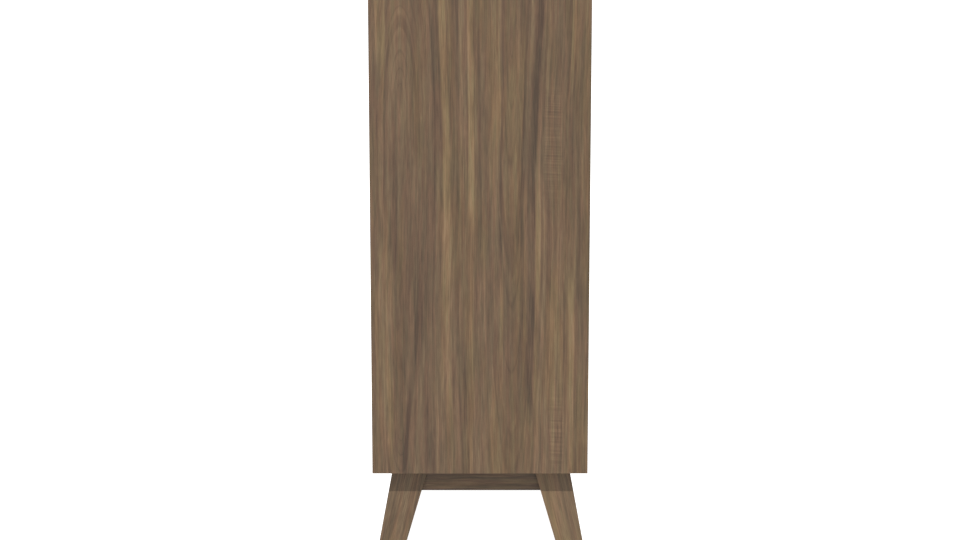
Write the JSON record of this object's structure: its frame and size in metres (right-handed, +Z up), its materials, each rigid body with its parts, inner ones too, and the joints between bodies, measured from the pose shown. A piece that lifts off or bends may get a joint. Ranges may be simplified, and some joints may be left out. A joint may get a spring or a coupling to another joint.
{
  "type": "console television cabinet",
  "caption": "Tall walnut console television cabinet on splayed tapered legs, with a tube screen above, a control column, a slatted speaker bay and doors over a record compartment.",
  "frame": {"origin": "on the floor at the middle of the footprint", "axes": "+Z up, +X along the width towards the viewer's right, -Y out of the front"},
  "size_m": [0.78, 0.404, 1.15],
  "materials": {
    "walnut": "satin oiled walnut veneer",
    "rail_walnut": "satin solid walnut",
    "board": "unfinished plywood",
    "hardboard": "matt pressed hardboard",
    "brass": "brushed and lacquered",
    "steel": "zinc plated",
    "chassis_steel": "dull cadmium plate",
    "aluminium": "spun",
    "cloth": "woven grille cloth",
    "paper": "black paper",
    "mask_plastic": "satin moulding",
    "fascia_plastic": "satin",
    "knob_plastic": "polished",
    "key_plastic": "polished ivory",
    "scale_plastic": "printed scale plate",
    "pointer_red": "red",
    "phenolic": "brown phenolic",
    "glass": "grey face glass",
    "tube_glass": "graphite coated glass",
    "valve_glass": "clear",
    "varnish": "varnished winding",
    "rubber": "matt",
    "glide_plastic": "nylon"
  },
  "bodies": {
    "cabinet": {"end_panel_left": "walnut", "end_panel_right": "walnut", "top_panel": "walnut", "bottom_panel": "walnut", "leg_front_left": "walnut", "leg_front_right": "walnut", "leg_rear_left": "walnut", "leg_rear_right": "walnut", "tv_shelf": "walnut", "storage_shelf": "walnut", "grille_slats": "walnut", "end_rails": "rail_walnut", "long_rails": "rail_walnut", "corner_blocks": "board", "speaker_baffle": "board", "rear_cover": "hardboard", "storage_back": "hardboard", "hinge_frame_leaves": "brass", "hinge_pins": "brass", "ball_catches": "brass", "fixing_screws": "steel", "tube_band": "steel", "chassis_tray": "chassis_steel", "speaker_frames": "chassis_steel", "line_output_cage": "aluminium", "tuner_box": "aluminium", "grille_cloth": "cloth", "speaker_cones": "paper", "screen_mask": "mask_plastic", "control_fascia": "fascia_plastic", "dial_scale": "scale_plastic", "terminal_plate": "phenolic", "control_units": "phenolic", "tube_socket": "phenolic", "tube_faceplate": "glass", "tube_funnel": "tube_glass", "valves": "valve_glass", "mains_transformer": "varnish", "deflection_yoke": "varnish", "anode_lead": "rubber", "foot_glides": "glide_plastic"},
    "left_door": {"door_left": "walnut", "door_pull_left": "brass", "hinge_leaves_left_door": "brass", "hinge_screws_left_door": "steel"},
    "right_door": {"door_right": "walnut", "door_pull_right": "brass", "hinge_leaves_right_door": "brass", "hinge_screws_right_door": "steel"},
    "channel_selector": {"channel_knob": "knob_plastic", "tuner_turret": "phenolic"},
    "fine_tuning": {"fine_tuning_ring": "key_plastic"},
    "uhf_tuning": {"uhf_knob": "knob_plastic"},
    "pointer": {"dial_pointer": "pointer_red"},
    "volume": {"volume_knob": "knob_plastic"},
    "brightness": {"brightness_knob": "knob_plastic"},
    "contrast": {"contrast_knob": "knob_plastic"},
    "power_switch": {"power_key": "key_plastic"},
    "band_switch": {"band_key": "key_plastic"},
    "tone_switch": {"tone_key": "key_plastic"}
  },
  "joints": [
    {"name": "left_door_hinge", "type": "hinge", "parent": "cabinet", "child": "left_door", "pos_m": [-0.3676, -0.1974, 0.3785], "axis": [0, 0, -1], "range_deg": [0, 150]},
    {"name": "right_door_hinge", "type": "hinge", "parent": "cabinet", "child": "right_door", "pos_m": [0.3676, -0.1974, 0.3785], "axis": [0, 0, 1], "range_deg": [0, 150]},
    {"name": "channel_select", "type": "hinge", "parent": "cabinet", "child": "channel_selector", "pos_m": [0.296, -0.19, 1.056], "axis": [0, 1, 0], "continuous": true},
    {"name": "fine_tune", "type": "hinge", "parent": "cabinet", "child": "fine_tuning", "pos_m": [0.296, -0.19, 1.056], "axis": [0, 1, 0], "range_deg": [-150, 150]},
    {"name": "uhf_tune", "type": "hinge", "parent": "cabinet", "child": "uhf_tuning", "pos_m": [0.296, -0.19, 0.966], "axis": [0, 1, 0], "range_deg": [-540, 540]},
    {"name": "pointer_slide", "type": "slide", "parent": "cabinet", "child": "pointer", "axis": [1, 0, 0], "range_m": [-0.0451, 0.0451]},
    {"name": "volume_turn", "type": "hinge", "parent": "cabinet", "child": "volume", "pos_m": [0.296, -0.19, 0.798], "axis": [0, 1, 0], "range_deg": [-150, 150]},
    {"name": "brightness_turn", "type": "hinge", "parent": "cabinet", "child": "brightness", "pos_m": [0.265, -0.19, 0.862], "axis": [0, 1, 0], "range_deg": [-150, 150]},
    {"name": "contrast_turn", "type": "hinge", "parent": "cabinet", "child": "contrast", "pos_m": [0.327, -0.19, 0.862], "axis": [0, 1, 0], "range_deg": [-150, 150]},
    {"name": "power_press", "type": "slide", "parent": "cabinet", "child": "power_switch", "axis": [0, 1, 0], "range_m": [0, 0.004], "stiffness_N_per_m": 300},
    {"name": "band_press", "type": "slide", "parent": "cabinet", "child": "band_switch", "axis": [0, 1, 0], "range_m": [0, 0.004], "stiffness_N_per_m": 300},
    {"name": "tone_press", "type": "slide", "parent": "cabinet", "child": "tone_switch", "axis": [0, 1, 0], "range_m": [0, 0.004], "stiffness_N_per_m": 300}
  ],
  "couplings": [
    {"joint": "pointer_slide", "follows": "uhf_tune", "m_per_rad": 0.0047746}
  ]
}
